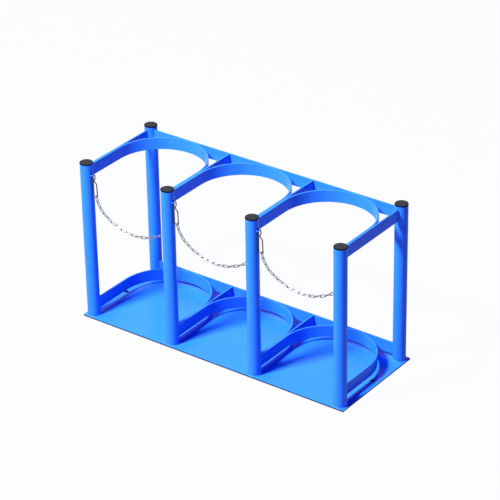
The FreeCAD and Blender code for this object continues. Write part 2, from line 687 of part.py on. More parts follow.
for bay in range(BAYS):
    hook_eye = eye("hook_eye_%d" % (bay + 1), EYE, True)
    place(hook_eye, post_x(bay), FRONT_Y, "sizes.post_top - sizes.hook_eye_drop")
    chain_eye = eye("chain_eye_%d" % (bay + 1), EYE, True)
    chain_eye.Placement = Placement(Vector(), Rotation(Vector(0, 0, 1), 180 - chain_eye_turn))
    chain_eye.setExpression("Placement.Rotation.Angle", "180 - sizes.chain_eye_turn")
    place(chain_eye, post_x(bay + 1), FRONT_Y, "sizes.post_top - sizes.chain_eye_drop")
    spare_eye = eye("spare_eye_%d" % (bay + 1), SPARE, False)
    upright = Rotation(Vector(1, 0, 0), 90)
    spare_eye.Placement = Placement(Vector(), Rotation(Vector(0, 0, 1), 180) * upright)
    place(spare_eye, post_x(bay + 1), FRONT_Y, "sizes.post_top - sizes.spare_eye_drop")

# Weld beads, one ring of triangular section round the foot of every post
section = Part.makePolygon([Vector(post_radius + weld_gap, 0, 0),
                            Vector(post_radius + bead_out, 0, 0),
                            Vector(post_radius + weld_gap, 0, bead_high),
                            Vector(post_radius + weld_gap, 0, 0)])
bead = Part.Face(section).revolve(Vector(), Vector(0, 0, 1), 360)
feet = [((i - BAYS / 2) * bay_pitch, front_y) for i in range(BAYS + 1)]
feet += [(x, front_y + row_depth) for x in (feet[0][0], feet[-1][0])]
beads = []
for x, y in feet:
    one = bead.copy()
    one.translate(Vector(x, y, 0))
    beads.append(one)
shaped("foot_welds", Part.makeCompound(beads), Placement(Vector(0, 0, plate_thick + weld_gap),
                                                        Rotation()))

# Hook, gate, pin and chain of each bay, built in the plane through the two eyes
turn = math.radians(180 - chain_eye_turn)
reach_x = bay_pitch + eye_reach * math.cos(turn) - eye_reach
reach_y = eye_reach * math.sin(turn)
plane_turn = math.degrees(math.atan2(reach_y, reach_x))
far_eye = Vector(math.hypot(reach_x, reach_y), 0, hook_eye_drop - chain_eye_drop)
seat = Vector(seat_reach, 0, hook_floor)
nodes = chain_nodes(seat, far_eye)
hook_shape, gate_shape, pin_shape = snap_hook(), gate(), gate_pin()
links_shape = chain_solids(nodes)
for bay in range(BAYS):
    base = Vector((bay - BAYS / 2) * bay_pitch + eye_reach, front_y,
                  post_top - hook_eye_drop)
    frame = Placement(base, Rotation(Vector(0, 0, 1), plane_turn))
    shaped("hook_%d" % (bay + 1), hook_shape.copy(), frame)
    shaped("gate_%d" % (bay + 1), gate_shape.copy(), frame)
    shaped("gate_pin_%d" % (bay + 1), pin_shape.copy(), frame)
    shaped("chain_%d" % (bay + 1), links_shape.copy(), frame)

# Check every object before anything is written
doc.recompute()
for obj in doc.Objects:
    if any(word in obj.State for word in ("Invalid", "Error")):
        raise RuntimeError("%s failed: %s" % (obj.Name, obj.State))
for obj in made:
    if obj.Shape.isNull() or not obj.Shape.isValid() or obj.Shape.Volume <= 0:
        raise RuntimeError("%s has no valid shape" % obj.Label)
for obj in made:
    obj.Shape.exportStep("parts/%s.step" % obj.Label)
print("%d pieces, %d links a chain" % (len(made), len(links_shape.Solids)))
print("chain: lowest %.1f, axis %.3f deg" % (min(p.z for p in nodes) + base.z, plane_turn))
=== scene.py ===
"""Looks for a floor stand that holds three gas cylinders behind chains.

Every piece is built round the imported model, in metres and in the same frame:
+X to the right along the bays, +Y to the rear, +Z up from the floor.
"""

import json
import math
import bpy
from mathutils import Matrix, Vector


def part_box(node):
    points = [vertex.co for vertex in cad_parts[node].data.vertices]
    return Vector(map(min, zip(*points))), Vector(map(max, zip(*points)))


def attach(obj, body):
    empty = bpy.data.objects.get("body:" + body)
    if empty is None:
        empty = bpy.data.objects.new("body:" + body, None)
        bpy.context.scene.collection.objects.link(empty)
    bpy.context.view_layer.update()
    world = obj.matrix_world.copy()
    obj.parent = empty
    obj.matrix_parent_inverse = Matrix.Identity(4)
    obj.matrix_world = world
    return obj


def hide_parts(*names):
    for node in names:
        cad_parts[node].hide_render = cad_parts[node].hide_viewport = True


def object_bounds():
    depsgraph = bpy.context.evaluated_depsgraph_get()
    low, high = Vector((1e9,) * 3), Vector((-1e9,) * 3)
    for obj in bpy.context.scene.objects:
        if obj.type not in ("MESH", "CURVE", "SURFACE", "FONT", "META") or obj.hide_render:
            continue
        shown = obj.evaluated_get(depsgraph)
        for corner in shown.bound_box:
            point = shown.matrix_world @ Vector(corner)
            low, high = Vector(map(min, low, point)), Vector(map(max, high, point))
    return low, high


bl_info = {
    "name": "Gas cylinder stand",
    "version": (1, 0, 0),
    "blender": (4, 5, 0),
    "location": "View3D > Sidebar > Stand",
    "description": "Painted tube and flat bar stand with capped posts, chains and snap hooks",
    "category": "Object",
}

import bmesh
import bpy
import numpy as np
from bpy.props import FloatProperty, FloatVectorProperty, IntProperty
from mathutils import Matrix, Vector

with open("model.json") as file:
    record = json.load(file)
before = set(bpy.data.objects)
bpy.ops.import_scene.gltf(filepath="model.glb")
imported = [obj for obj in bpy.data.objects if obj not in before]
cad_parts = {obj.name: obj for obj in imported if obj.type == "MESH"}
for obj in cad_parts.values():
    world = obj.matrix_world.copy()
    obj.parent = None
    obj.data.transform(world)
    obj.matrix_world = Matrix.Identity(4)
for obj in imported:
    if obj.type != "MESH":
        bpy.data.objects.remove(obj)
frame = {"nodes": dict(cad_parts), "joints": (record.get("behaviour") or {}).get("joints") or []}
cad_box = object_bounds()

MM = 0.001
BAYS = 3
UP = Vector((0, 0, 1))

WELD_GAP = 0.05 * MM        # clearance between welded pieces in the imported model
SAME_POINT = 0.001 * MM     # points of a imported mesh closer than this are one
FLAT = math.radians(0.4)    # faces that turn less than this are one face
SHARP = math.radians(40)    # edges that turn more than this get rounded


# What a user would change

class StandSizes(bpy.types.PropertyGroup):
    """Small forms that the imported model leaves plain."""

    bar_rounding: FloatProperty(
        name="Bar edge rounding", description="Rounding of the flat bars' edges",
        default=0.55 * MM, min=0.0, unit="LENGTH")
    plate_rounding: FloatProperty(
        name="Plate edge rounding", description="Rounding of the base plate's edges",
        default=0.7 * MM, min=0.0, unit="LENGTH")
    bead_leg: FloatProperty(
        name="Seam leg", description="Leg of the weld seams between bars and posts",
        default=1.8 * MM, min=0.0, unit="LENGTH")
    foot_leg: FloatProperty(
        name="Foot weld leg", description="Leg of the weld round each post's foot",
        default=1.7 * MM, min=0.0, unit="LENGTH")
    ripple_pitch: FloatProperty(
        name="Ripple pitch", description="Distance between two ripples of a weld",
        default=1.6 * MM, min=0.0, unit="LENGTH")
    link_wire: FloatProperty(
        name="Link wire", description="Wire diameter of a chain link",
        default=2.2 * MM, min=0.0, unit="LENGTH")
    link_sides: IntProperty(
        name="Link sides", description="Facets round the wire of a link", default=12, min=6)
    post_sides: IntProperty(
        name="Post sides", description="Facets round a post", default=96, min=12)


class StandFinish(bpy.types.PropertyGroup):
    """Colours and gloss of the three finishes."""

    paint: FloatVectorProperty(
        name="Paint", description="Colour of the gloss paint", subtype="COLOR", size=3,
        default=(0.024, 0.195, 0.82), min=0.0, max=1.0)
    # Partly the darker paint of a sheared edge, deepened to near black as painted shade along
    # the plate's edge.
    sheared_edge_and_shade: FloatVectorProperty(
        name="Thin paint", description="Colour of the thin paint on the plate's sheared edge",
        subtype="COLOR", size=3, default=(0.006, 0.010, 0.018), min=0.0, max=1.0)
    paint_rough: FloatProperty(
        name="Paint roughness", description="Roughness of the gloss paint", default=0.20,
        min=0.0, max=1.0)
    paint_gloss: FloatProperty(
        name="Paint gloss", description="Strength of the paint's reflection", default=0.13,
        min=0.0, max=1.0)
    cap: FloatVectorProperty(
        name="Cap plastic", description="Colour of the moulded caps", subtype="COLOR", size=3,
        default=(0.0085, 0.0095, 0.011), min=0.0, max=1.0)
    steel: FloatVectorProperty(
        name="Plated steel", description="Colour of the chains", subtype="COLOR",
        size=3, default=(0.30, 0.30, 0.305), min=0.0, max=1.0)
    hook_tone: FloatProperty(
        name="Hook tone", description="Tone of the duller hooks beside the chains",
        default=0.38, min=0.0, max=1.0)


class StandView(bpy.types.PropertyGroup):
    """Camera and lamps."""

    eye: FloatVectorProperty(
        name="Camera place", description="Where the camera stands", size=3,
        default=(3.1919, -4.2505, 3.1848), subtype="XYZ", unit="LENGTH")
    yaw: FloatProperty(
        name="Yaw", description="Turn of the view to the left of +Y",
        default=math.radians(36.70), subtype="ANGLE")
    pitch: FloatProperty(
        name="Pitch", description="Downward tilt of the view",
        default=math.radians(28.89), subtype="ANGLE")
    roll: FloatProperty(
        name="Roll", description="Turn of the picture about the view axis",
        default=math.radians(-1.04), subtype="ANGLE")
    lens: FloatProperty(
        name="Lens", description="Focal length on a 36 mm sensor, in millimetres",
        default=175.75, min=1.0)
    key_place: FloatVectorProperty(
        name="Key lamp place", description="Where the key lamp hangs", size=3,
        default=(-0.85, -2.3, 3.6), subtype="XYZ", unit="LENGTH")
    key_power: FloatProperty(
        name="Key lamp power", description="Power of the key lamp in watts", default=425.0)
    key_size: FloatProperty(
        name="Key lamp size", description="Width of the key lamp", default=0.7,
        unit="LENGTH")
    side_place: FloatVectorProperty(
        name="Side lamp place", description="Where the broad lamp at the left hangs", size=3,
        default=(-2.2, -0.5, 4.2), subtype="XYZ", unit="LENGTH")
    side_power: FloatProperty(
        name="Side lamp power", description="Power of the broad lamp in watts", default=65.0)
    side_size: FloatProperty(
        name="Side lamp size", description="Width of the broad lamp", default=1.6,
        unit="LENGTH")
    sky: FloatProperty(
        name="Sky level", description="Level of the even light all round", default=1.0)


def sizes():
    return bpy.context.scene.stand_sizes


def finish():
    return bpy.context.scene.stand_finish


def camera_view():
    return bpy.context.scene.stand_view


# Shader wiring

class Shade:
    """A node socket that adds Math nodes when it is used in an expression."""

    def __init__(self, tree, socket):
        self.tree = tree
        self.socket = socket

    def maths(self, operation, *others):
        node = self.tree.nodes.new("ShaderNodeMath")
        node.operation = operation
        for slot, value in zip(node.inputs, others):
            feed(self.tree, slot, value)
        return Shade(self.tree, node.outputs[0])

    def __add__(self, other):
        return self.maths("ADD", self, other)

    def __radd__(self, other):
        return self.maths("ADD", other, self)

    def __sub__(self, other):
        return self.maths("SUBTRACT", self, other)

    def __rsub__(self, other):
        return self.maths("SUBTRACT", other, self)

    def __mul__(self, other):
        return self.maths("MULTIPLY", self, other)

    def __rmul__(self, other):
        return self.maths("MULTIPLY", other, self)

    def __lt__(self, other):
        return self.maths("LESS_THAN", self, other)

    def __gt__(self, other):
        return self.maths("GREATER_THAN", self, other)

    def __abs__(self):
        return self.maths("ABSOLUTE", self)

    def at_least(self, other):
        """The larger of two values."""
        return self.maths("MAXIMUM", self, other)


def feed(tree, slot, value):
    """Put a number, a colour or another node's socket into a socket."""
    if isinstance(value, Shade):
        tree.links.new(value.socket, slot)
    else:
        slot.default_value = value


class Wiring:
    """Node tree of one material or of the world, emptied and ready to be filled."""

    def __init__(self, owner):
        owner.use_nodes = True
        self.tree = owner.node_tree
        self.tree.nodes.clear()

    def node(self, kind, settings=None, out=0, **values):
        """Add a node: its settings first, then its sockets.

        A socket is named with _ for a space, or numbered after the word slot.
        """
        node = self.tree.nodes.new("ShaderNode" + kind)
        for name, value in (settings or {}).items():
            setattr(node, name, value)
        for name, value in values.items():
            key = int(name[4:]) if name.startswith("slot") else name.replace("_", " ")
            feed(self.tree, node.inputs[key], value)
        return Shade(self.tree, node.outputs[out]) if len(node.outputs) else node

    def place(self):
        """The piece's own coordinates, in metres."""
        return self.node("TexCoord", out="Object")

    def axis(self, number):
        """One of those coordinates: 0, 1 or 2 for X, Y or Z."""
        return self.node("SeparateXYZ", out=number, Vector=self.place())

    def noise(self, size, detail=2.0, rough=0.5):
        """Noise with blobs of about the size given, from 0 to 1."""
        return self.node("TexNoise", Vector=self.place(), Scale=1 / size, Detail=detail,
                         Roughness=rough)

    def blend(self, factor, first, second):
        """Colour between two colours."""
        return self.node("Mix", {"data_type": "RGBA"}, out=2, slot0=factor, slot6=first,
                         slot7=second)

    def output(self, kind, shader):
        self.node("Output" + kind, Surface=shader)


def rgba(colour, level=1.0):
    """A colour made lighter or darker, for a colour socket."""
    return (colour[0] * level, colour[1] * level, colour[2] * level, 1.0)


def gloss_paint(name, edge_shade_height=0.0):
    """Blue gloss paint with a faint orange peel, turned near black below the height given:
    painted shade on a darker sheared edge.
    """
    look = finish()
    wires = Wiring(material := bpy.data.materials.new(name))
    film = wires.noise(60 * MM, 3.0)
    peel = wires.noise(2.6 * MM, 1.5)
    grain = wires.noise(0.5 * MM, 1.0)
    colour = wires.blend(film, rgba(look.paint, 0.94), rgba(look.paint, 1.04))
    # Painted shade: below the height given, the colour mixes to near black on the plate's edge
    # faces.
    if edge_shade_height:
        edge_shade = wires.node("MapRange", {"interpolation_type": "SMOOTHSTEP"},
                          Value=wires.axis(2), slot1=edge_shade_height, slot2=edge_shade_height - 0.5 * MM)
        colour = wires.blend(edge_shade * (film * 0.08 + 0.94), colour, rgba(look.sheared_edge_and_shade))
    bump = wires.node("Bump", Strength=0.10, Distance=0.05 * MM,
                      Height=peel * 0.8 + grain * 0.2)
    shader = wires.node(
        "BsdfPrincipled", Base_Color=colour,
        Roughness=film * 0.08 + (look.paint_rough - 0.04), IOR=1.5,
        Specular_IOR_Level=look.paint_gloss, Normal=bump)
    wires.output("Material", shader)
    return material


def moulded_plastic(name, shine=0.2, level=1.0):
    """Near black polyethylene with a fine moulded grain."""
    look = finish()
    wires = Wiring(material := bpy.data.materials.new(name))
    grain = wires.noise(0.35 * MM, 2.0)
    cloud = wires.noise(9 * MM, 2.0)
    colour = wires.blend(cloud, rgba(look.cap, 0.85 * level), rgba(look.cap, 1.15 * level))
    bump = wires.node("Bump", Strength=0.35, Distance=0.05 * MM, Height=grain)
    shader = wires.node("BsdfPrincipled", Base_Color=colour, Roughness=cloud * 0.1 + 0.48,
                        IOR=1.5, Specular_IOR_Level=shine, Normal=bump)
    wires.output("Material", shader)
    return material


def plated_steel(name, tone=1.0):
    """Zinc plate: bright, a little cloudy, duller in patches."""
    look = finish()
    wires = Wiring(material := bpy.data.materials.new(name))
    cloud = wires.noise(5 * MM, 3.0, 0.6)
    scratch = wires.noise(0.4 * MM, 2.0)
    colour = wires.blend(cloud, rgba(look.steel, 0.72 * tone), rgba(look.steel, 1.12 * tone))
    bump = wires.node("Bump", Strength=0.2, Distance=0.03 * MM, Height=scratch)
    shader = wires.node("BsdfPrincipled", Base_Color=colour, Metallic=1.0,
                        Roughness=cloud * 0.22 + 0.2, Normal=bump)
    wires.output("Material", shader)
    return material


FINISHES = {"blue_paint": ("blue_gloss_paint", gloss_paint),
            "black_plastic": ("black_moulded_plastic", moulded_plastic),
            "zinc_steel": ("zinc_plated_steel", plated_steel)}


def finish_named(slot_name):
    """The material of a slot, made on its first use."""
    name, maker = FINISHES[slot_name]
    return bpy.data.materials.get(name) or maker(name)


# Mesh helpers

def add_piece(name, mesh, body, slot_name, nodes=(), sharp=40):
    """Link a finished mesh as a piece of the stand that rides on a body."""
    mesh.shade_smooth()
    mesh.set_sharp_from_angle(angle=math.radians(sharp))
    piece = bpy.data.objects.new(name, mesh)
    bpy.context.scene.collection.objects.link(piece)
    mesh.materials.clear()
    mesh.materials.append(finish_named(slot_name))
    weighted = piece.modifiers.new("even_shading", "WEIGHTED_NORMAL")
    weighted.keep_sharp = True
    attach(piece, body)
    if nodes:
        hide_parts(*nodes)
    return piece


def mesh_from(name, points, faces):
    """Mesh whose faces all look outwards."""
    mesh = bpy.data.meshes.new(name)
    mesh.from_pydata([tuple(p) for p in points], [], faces)
    shape = bmesh.new()
    shape.from_mesh(mesh)
    bmesh.ops.recalc_face_normals(shape, faces=shape.faces)
    shape.to_mesh(mesh)
    shape.free()
    mesh.update()
    return mesh


def loft(name, sections, closed=False):
    """Skin over a row of closed sections with the same number of points each."""
    count, around = len(sections), len(sections[0])
    points = [p for section in sections for p in section]
    faces = []
    for i in range(count if closed else count - 1):
        for j in range(around):
            k = (j + 1) % around
            a, b = i * around, (i + 1) % count * around
            faces.append((a + j, a + k, b + k, b + j))
    if not closed:
        faces.append(tuple(range(around)))
        faces.append(tuple((count - 1) * around + j for j in range(around)))
    return mesh_from(name, points, faces)


def rounded_node(name, rounding=0.0):
    """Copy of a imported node's mesh with its sharp edges rounded."""
    shape = bmesh.new()
    shape.from_mesh(frame["nodes"][name].data)
    bmesh.ops.remove_doubles(shape, verts=shape.verts, dist=SAME_POINT)
    if rounding:
        bmesh.ops.dissolve_limit(shape, angle_limit=FLAT, verts=shape.verts,
                                 edges=shape.edges)
        edges = [e for e in shape.edges
                 if len(e.link_faces) == 2 and e.calc_face_angle() > SHARP]
        bmesh.ops.bevel(shape, geom=edges, offset=rounding, segments=2, profile=0.5,
                        affect="EDGES", clamp_overlap=True)
    points = [v.co.copy() for v in shape.verts]
    shape.verts.index_update()
    faces = [[v.index for v in f.verts] for f in shape.faces]
    shape.free()
    return mesh_from(name, points, faces)


def lathe(name, profile, sides, centre):
    """Turned body: the profile is a closed loop of (radius, height)."""
    sections = []
    for i in range(sides):
        turn = 2 * math.pi * i / sides
        way = Vector((math.cos(turn), math.sin(turn), 0))
        sections.append([centre + way * r + UP * z for r, z in profile])
    return loft(name, sections, closed=True)


def upright(node, height=0.0):
    """Radius of a round upright node, and the point of its axis at a height."""
    low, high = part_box(node)
    return (high.x - low.x) / 2, Vector(((low.x + high.x) / 2, (low.y + high.y) / 2, height))


# Frame pieces

POSTS = ["post_front_%d" % (i + 1) for i in range(BAYS + 1)] + ["post_rear_left",
                                                                "post_rear_right"]
BARS = [level + name for level in ("upper_", "lower_") for name in
        ["rear_rail", "divider_1", "divider_2"] + ["ring_%d" % (i + 1) for i in range(BAYS)]]
BARS += ["upper_side_rail_left", "upper_side_rail_right"]
CAP_SIDES = 72


class STAND_OT_plate(bpy.types.Operator):
    """Base plate with rounded edges"""

    bl_idname = "stand.plate"
    bl_label = "Base plate"

    def execute(self, context):
        mesh = rounded_node("base_plate", sizes().plate_rounding)
        plate = add_piece("plate", mesh, "frame", "blue_paint", ["base_plate"])
        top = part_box("base_plate")[1].z
        # The plate's edge faces, below half a millimetre under its top, get near black painted
        # shade.
        plate.data.materials[0] = gloss_paint("blue_plate_paint", top - 0.5 * MM)
        return {"FINISHED"}


class STAND_OT_posts(bpy.types.Operator):
    """Round tube posts"""

    bl_idname = "stand.posts"
    bl_label = "Posts"

    wall: FloatProperty(name="Wall", description="Wall of the tube", default=2 * MM,
                        unit="LENGTH")

    def execute(self, context):
        for node in POSTS:
            low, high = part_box(node)
            radius, centre = upright(node)
            soft = 0.3 * MM
            profile = [(radius - soft, low.z), (radius, low.z + soft), (radius, high.z - soft),
                       (radius - soft, high.z), (radius - self.wall, high.z),
                       (radius - self.wall, low.z)]
            mesh = lathe(node, profile, sizes().post_sides, centre)
            add_piece(node.replace("post", "tube"), mesh, "frame", "blue_paint", [node])
        return {"FINISHED"}


class STAND_OT_bars(bpy.types.Operator):
    """Flat bars of both levels: rings, dividers and rails"""

    bl_idname = "stand.bars"
    bl_label = "Flat bars"

    def execute(self, context):
        for node in BARS:
            mesh = rounded_node(node, sizes().bar_rounding)
            add_piece(node + "_bar", mesh, "frame", "blue_paint", [node])
        return {"FINISHED"}


class STAND_OT_caps(bpy.types.Operator):
    """Moulded end caps with a crowned top and a soft rim"""

    bl_idname = "stand.caps"
    bl_label = "End caps"

    crown: FloatProperty(name="Crown", description="Rise of the cap's top in the middle",
                         default=0.35 * MM, unit="LENGTH")
    rim_step: FloatProperty(name="Rim step", description="Shallow step inside the rim",
                            default=0.25 * MM, unit="LENGTH")
    # The darker rim is painted shade on the cap's rounded shoulder.
    shaded_rim_width: FloatProperty(name="Rim width", description="Width of the darker rim",
                             default=2.45 * MM, unit="LENGTH")

    def profile(self, radius, low, flange, high):
        """Closed loop from the plug's foot round the flange to the middle."""
        plug, core, lead = radius - 2.4 * MM, radius - 4.2 * MM, 0.8 * MM
        soft, steps = 1.1 * MM, 6
        rim_top, rim_slope = 0.9 * MM, 0.4 * MM
        axis, ceiling = 0.02 * MM, flange + 0.6 * MM
        top = high - self.crown
        panel = top - self.rim_step
        points = [(core, low), (plug, low + lead), (plug, flange), (radius, flange)]
        for k in range(1, steps + 1):
            turn = math.pi / 2 * k / steps
            points.append((radius - soft * (1 - math.cos(turn)),
                           top - soft * (1 - math.sin(turn))))
        inside = radius - soft - rim_top
        points += [(inside, top), (inside - rim_slope, panel)]
        for share in (0.75, 0.5, 0.25):
            points.append((inside * share, panel + self.crown * (1 - share * share)))
        return points + [(axis, panel + self.crown), (axis, ceiling), (core, ceiling)]

    def execute(self, context):
        # Painted shade: the rim faces get the cap plastic at half brightness and almost no
        # shine.
        rim = moulded_plastic("black_cap_rim_shade", shine=0.02, level=0.5)
        for node in POSTS:
            cap = node.replace("post", "cap")
            low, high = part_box(cap)
            radius, centre = upright(cap)
            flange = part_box(node)[1].z + WELD_GAP
            mesh = lathe(cap, self.profile(radius, low.z, flange, high.z), CAP_SIDES, centre)
            piece = add_piece(cap + "_moulded", mesh, "frame", "black_plastic", [cap])
            piece.data.materials.append(rim)
            for face in piece.data.polygons:
                way = face.center - centre
                if Vector((way.x, way.y)).length > radius - self.shaded_rim_width:
                    face.material_index = 1
        return {"FINISHED"}


# Welds

VALLEY, RIPPLE = 0.93, 0.07     # a ripple's low point and its rise, as shares of the leg
HOLLOW, FLARE = 0.80, 0.20      # a bead's face in the middle, and its rise to each side
BEAD_STEPS = 5                  # facets across a bead's face
BEAD_SINK = 0.1 * MM            # how far a bead's root lies inside the metal
SEAM_TIP, SEAM_GROWTH = 0.25, 8     # a seam's size at its ends, and how fast it grows


def bead_sections(spine, leg):
    """Sections of a rippled fillet weld: spine holds (corner, side, side) triples."""
    sections = []
    travelled = 0.0
    last = spine[0][0]
    for corner, one, other in spine:
        travelled += (corner - last).length
        last = corner
        wave = math.sqrt(abs(math.sin(math.pi * travelled / sizes().ripple_pitch)))
        swell = leg * (VALLEY + RIPPLE * wave)
        section = [corner - (one + other) * BEAD_SINK]
        for k in range(BEAD_STEPS + 1):
            turn = math.pi / 2 * k / BEAD_STEPS
            full = swell * (HOLLOW + FLARE * abs(math.cos(2 * turn)))
            section.append(corner + one * (full * math.cos(turn))
                           + other * (full * math.sin(turn)))
        sections.append(section)
    return sections


def ring_spine(centre, radius, steps=360):
    """Line round the foot of a post."""
    spine = []
    for i in range(steps):
        turn = 2 * math.pi * i / steps
        way = Vector((math.cos(turn), math.sin(turn), 0))
        spine.append((centre + way * radius, way, UP))
    return spine


def seam_spine(foot, one, other, height, steps=40):
    """Upright seam whose two ends taper off."""
    spine = []
    for i in range(steps + 1):
        share = i / steps
        size = min(1.0, SEAM_TIP + SEAM_GROWTH * min(share, 1 - share))
        spine.append((foot + UP * (height * share), one * size, other * size))
    return spine


class STAND_OT_foot_welds(bpy.types.Operator):
    """Rippled weld beads round the feet of the posts"""

    bl_idname = "stand.foot_welds"
    bl_label = "Foot welds"

    def execute(self, context):
        plate_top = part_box("base_plate")[1].z
        meshes = []
        for node in POSTS:
            radius, centre = upright(node, plate_top)
            beads = bead_sections(ring_spine(centre, radius), sizes().foot_leg)
            meshes.append(loft(node, beads, closed=True))
        add_piece("foot_beads", joined("foot_beads", meshes), "frame", "blue_paint",
                  ["foot_welds"], sharp=60)
        return {"FINISHED"}


def joined(name, meshes):
    """One mesh out of several."""
    shape = bmesh.new()
    for mesh in meshes:
        shape.from_mesh(mesh)
        bpy.data.meshes.remove(mesh)
    whole = bpy.data.meshes.new(name)
    shape.to_mesh(whole)
    shape.free()
    return whole


class STAND_OT_seams(bpy.types.Operator):
    """Upright weld seams where the flat bars meet the posts and the rear rail"""

    bl_idname = "stand.seams"
    bl_label = "Bar seams"

    def post_seam(self, post, way, offset, low_z, high_z):
        """Seam on a post beside a bar that leaves it along way, offset to one side."""
        radius, centre = upright(post, low_z)
        side = Vector((way.y, -way.x, 0))
        reach = math.sqrt(radius ** 2 - offset ** 2)
        foot = centre + side * offset + way * reach
        outward = (foot - centre).normalized()
        around = Vector((-outward.y, outward.x, 0))
        if around.dot(side) * offset < 0:
            around.negate()
        spine = seam_spine(foot, way, around, high_z - low_z)
        return loft("seam", bead_sections(spine, sizes().bead_leg))

    def execute(self, context):
        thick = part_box("upper_divider_1")
        half = (thick[1].x - thick[0].x) / 2
        stack = 3 * half + WELD_GAP
        ways = {"rear": Vector((0, 1, 0)), "front": Vector((0, -1, 0)),
                "right": Vector((1, 0, 0)), "left": Vector((-1, 0, 0))}
        for level in ("upper", "lower"):
            low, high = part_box(level + "_ring_1")
            seams = []
            for i in range(1, BAYS + 2):
                post = "post_front_%d" % i
                for sign in (-1, 1):
                    outer = (i == 1 and sign < 0) or (i == BAYS + 1 and sign > 0)
                    if outer and level == "lower":
                        offset = -sign * (half + WELD_GAP)
                    elif outer:
                        offset = sign * half
                    else:
                        offset = sign * stack
                    seams.append(self.post_seam(post, ways["rear"], offset, low.z, high.z))
            rail_low, rail_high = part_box(level + "_rear_rail")
            for post, way in (("post_rear_left", ways["right"]),
                              ("post_rear_right", ways["left"])):
                centre = upright(post)[1]
                side = Vector((way.y, -way.x, 0))
                for y in (rail_low.y, rail_high.y):
                    offset = side.y * (y - centre.y)
                    seams.append(self.post_seam(post, way, offset, low.z, high.z))
                if level == "upper":
                    for offset in (-half, half):
                        seams.append(self.post_seam(post, ways["front"], offset, low.z,
                                                    high.z))
            add_piece(level + "_seams", joined(level + "_seams", seams), "frame",
                      "blue_paint", sharp=60)
        return {"FINISHED"}


class STAND_OT_eyes(bpy.types.Operator):
    """Wire eyes on the posts for hooks and chains"""

    bl_idname = "stand.eyes"
    bl_label = "Eyes"

    def execute(self, context):
        for kind in ("hook_eye", "chain_eye", "spare_eye"):
            for bay in range(1, BAYS + 1):
                node = "%s_%d" % (kind, bay)
                add_piece(node + "_wire", rounded_node(node), "frame", "blue_paint", [node],
                          sharp=60)
        return {"FINISHED"}


# Chains and hooks

BEND_SHARE = 0.955          # a link's bend radius over half its width
BEND_STEPS = 12             # facets along each bend of a link
STOPS = (0.62, 0.5, 0.38)   # sections along each straight side of a link
BUTT_WELD = 1.16            # thickness of a link's butt weld over its wire's
PIN_SIDES = 20
PIN_DOME = ((0.4 * MM, 0.3), (0.25 * MM, 0.75), (0.02 * MM, 1.0))   # rise, share of radius


def loose_parts(node):
    """Vertices of each separate solid of a node, as arrays, always in the same order."""
    shape = bmesh.new()
    shape.from_mesh(frame["nodes"][node].data)
    bmesh.ops.remove_doubles(shape, verts=shape.verts, dist=SAME_POINT)
    seen = set()
    parts = []
    for start in shape.verts:
        if start in seen:
            continue
        seen.add(start)
        part = [start]
        for vert in part:
            for edge in vert.link_edges:
                other = edge.other_vert(vert)
                if other not in seen:
                    seen.add(other)
                    part.append(other)
        parts.append(np.array([v.co for v in part]))
    shape.free()
    return parts


def pointed(way):
    """The direction or its reverse, whichever has its largest component positive."""
    return way if max(way, key=abs) > 0 else -way


def link_axes(part):
    """Middle, long axis, wide axis and the lengths along them of one link."""
    spread = np.linalg.svd(part - part.mean(0), full_matrices=False)[2]
    long_way, wide_way = pointed(Vector(spread[0])), pointed(Vector(spread[1]))
    middle = Vector(part.mean(0))
    along = (part - part.mean(0)) @ np.array(long_way)
    across = (part - part.mean(0)) @ np.array(wide_way)
    middle += long_way * float((along.max() + along.min()) / 2)
    middle += wide_way * float((across.max() + across.min()) / 2)
    return middle, long_way, wide_way, float(np.ptp(along)), float(np.ptp(across))


def smooth_link(name, part, sides, wire):
    """Round wire link with a small butt weld in the middle of one side."""
    middle, long_way, wide_way, length, width = link_axes(part)
    normal = long_way.cross(wide_way)
    bend = (width - wire) / 2 * BEND_SHARE
    reach = length / 2 - wire / 2 - bend
    line = []
    for end in (1, -1):
        for k in range(BEND_STEPS + 1):
            turn = (k / BEND_STEPS - 0.5) * math.pi
            way = long_way * (end * math.cos(turn)) + wide_way * (end * math.sin(turn))
            line.append((middle + long_way * (end * reach) + way * bend, way, 1.0))
        for share in STOPS:
            spot = middle + wide_way * (end * bend)
            spot += long_way * (end * reach * (2 * share - 1))
            swell = BUTT_WELD if end > 0 and share == 0.5 else 1.0
            line.append((spot, wide_way * end, swell))
    sections = []
    for spot, out, swell in line:
        section = []
        for j in range(sides):
            turn = 2 * math.pi * j / sides
            section.append(spot + (out * math.cos(turn) + normal * math.sin(turn))
                           * (wire / 2 * swell))
        sections.append(section)
    return loft(name, sections, closed=True)


class STAND_OT_chains(bpy.types.Operator):
    """Round wire chains across the bays"""

    bl_idname = "stand.chains"
    bl_label = "Chains"

    def execute(self, context):
        for bay in range(1, BAYS + 1):
            node = "chain_%d" % bay
            links = [smooth_link("link", part, sizes().link_sides, sizes().link_wire)
                     for part in loose_parts(node)]
            add_piece(node + "_links", joined(node, links), "chain_%d_body" % bay,
                      "zinc_steel", [node], sharp=60)
        return {"FINISHED"}


